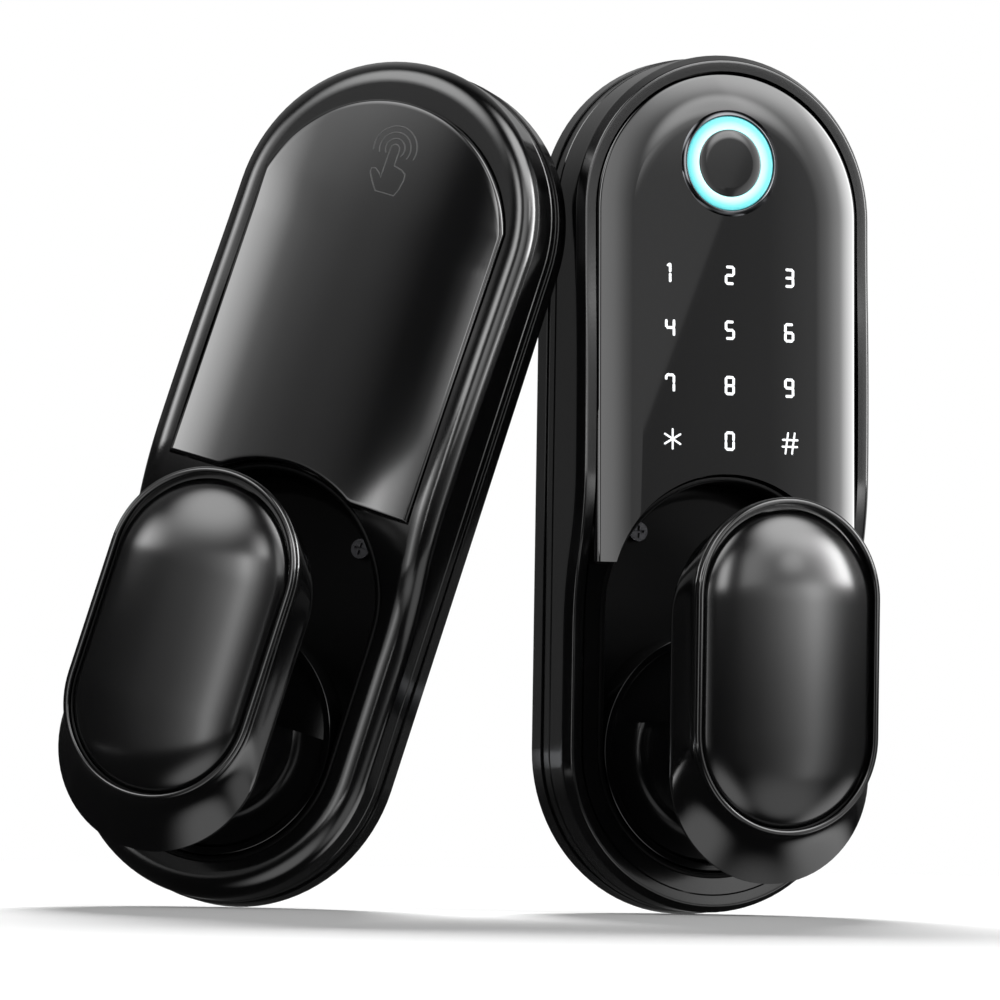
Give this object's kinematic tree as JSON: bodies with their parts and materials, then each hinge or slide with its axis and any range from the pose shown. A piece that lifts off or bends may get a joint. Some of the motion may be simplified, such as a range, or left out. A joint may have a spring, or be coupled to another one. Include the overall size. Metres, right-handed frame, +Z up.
{
  "type": "keypad smart lock",
  "caption": "Two-part door lock: a keypad and fingerprint unit with a stadium-shaped turning knob, and an interior unit with a battery cover and matching knob.",
  "frame": {"origin": "exterior unit's knob axis at its door face", "axes": "+Y from the exterior unit's front into the door, +Z up along the unit, +X to the right as the keypad is seen"},
  "size_m": [0.1714, 0.1113, 0.177],
  "materials": {
    "seal_rubber": "soft black rubber",
    "panel_black": "polished black touch panel",
    "cover_black": "polished black",
    "liner_black": "fine satin black",
    "housing_black": "gloss black coating on a casting",
    "knob_black": "gloss black coating on a casting",
    "rim_black": "gloss black coating",
    "cap_black": "satin gloss black",
    "ring_black": "gloss black, fine turned lines",
    "light_cyan": "lit cyan light guide",
    "bezel_dark_chrome": "dark polished chamfer",
    "pad_black": "glossy sensor face",
    "cylinder_brass": "machined brass",
    "board_green": "solder-masked board",
    "cell_wrap": "printed wrap, left plain",
    "works_grey": "grey moulding",
    "bushing_plastic": "natural acetal",
    "contact_nickel": "nickel plated strip",
    "steel": "zinc plated"
  },
  "bodies": {
    "lock_body": {"exterior_gasket": "seal_rubber", "exterior_back_plate": "steel", "mounting_posts": "steel", "exterior_housing": "housing_black", "keypad_panel": "panel_black", "touch_circuit_board": "board_green", "fingerprint_bezel": "bezel_dark_chrome", "light_ring": "light_cyan", "fingerprint_pad": "pad_black", "fingerprint_module": "board_green", "buzzer": "works_grey", "exterior_recess_liner": "liner_black", "exterior_rosette_ring": "ring_black", "exterior_recess_screws": "steel", "exterior_housing_screws": "steel", "exterior_bushing": "bushing_plastic", "clutch_motor": "works_grey", "cable_grommet": "seal_rubber", "interior_gasket": "seal_rubber", "interior_back_plate": "steel", "interior_housing": "housing_black", "battery_tray": "liner_black", "battery_cells": "cell_wrap", "contact_springs": "contact_nickel", "contact_plates": "contact_nickel", "main_circuit_board": "board_green", "interior_recess_liner": "liner_black", "interior_rosette_ring": "ring_black", "interior_recess_screws": "steel", "interior_housing_screws": "steel", "interior_bushing": "bushing_plastic"},
    "exterior_knob": {"exterior_knob_hub": "knob_black", "exterior_knob_head": "knob_black", "exterior_knob_rim": "rim_black", "key_cylinder": "cylinder_brass", "exterior_retaining_ring": "steel", "exterior_return_spring": "steel"},
    "exterior_cap": {"exterior_knob_cap": "cap_black"},
    "key_plug": {"key_plug": "cylinder_brass"},
    "exterior_drive": {"exterior_spindle_socket": "steel", "exterior_drive_cam": "steel"},
    "clutch_slider": {"clutch_slider": "steel"},
    "interior_knob": {"interior_knob_hub": "knob_black", "interior_knob_head": "knob_black", "interior_knob_rim": "rim_black", "interior_knob_cap": "cap_black", "interior_retaining_ring": "steel", "interior_return_spring": "steel", "interior_spindle": "steel"},
    "battery_cover": {"battery_cover": "cover_black"}
  },
  "joints": [
    {"name": "exterior_knob_turn", "type": "hinge", "parent": "lock_body", "child": "exterior_knob", "pos_m": [0, 0, 0], "axis": [0, 1, 0], "range_deg": [-60, 60], "stiffness_Nm_per_rad": 0.25},
    {"name": "exterior_drive_turn", "type": "hinge", "parent": "lock_body", "child": "exterior_drive", "pos_m": [0, 0, 0], "axis": [0, 1, 0], "range_deg": [-60, 60]},
    {"name": "key_plug_turn", "type": "hinge", "parent": "exterior_knob", "child": "key_plug", "pos_m": [0, 0, 0], "axis": [0, 1, 0], "range_deg": [0, 90]},
    {"name": "exterior_cap_lift", "type": "slide", "parent": "exterior_knob", "child": "exterior_cap", "axis": [0, -1, 0], "range_m": [0, 0.015]},
    {"name": "clutch_slide", "type": "slide", "parent": "lock_body", "child": "clutch_slider", "axis": [0, 0, -1], "range_m": [0, 0.0025]},
    {"name": "interior_knob_turn", "type": "hinge", "parent": "lock_body", "child": "interior_knob", "pos_m": [-0.08749, 0.0208, -0.00017], "axis": [0.6721, 0.7337, -0.1], "range_deg": [-60, 60], "stiffness_Nm_per_rad": 0.25},
    {"name": "battery_cover_lift", "type": "slide", "parent": "lock_body", "child": "battery_cover", "axis": [-0.6721, -0.7337, 0.1], "range_m": [0, 0.025]}
  ],
  "couplings": [
    {"joint": "exterior_drive_turn", "follows": "exterior_knob_turn", "ratio": 1}
  ]
}
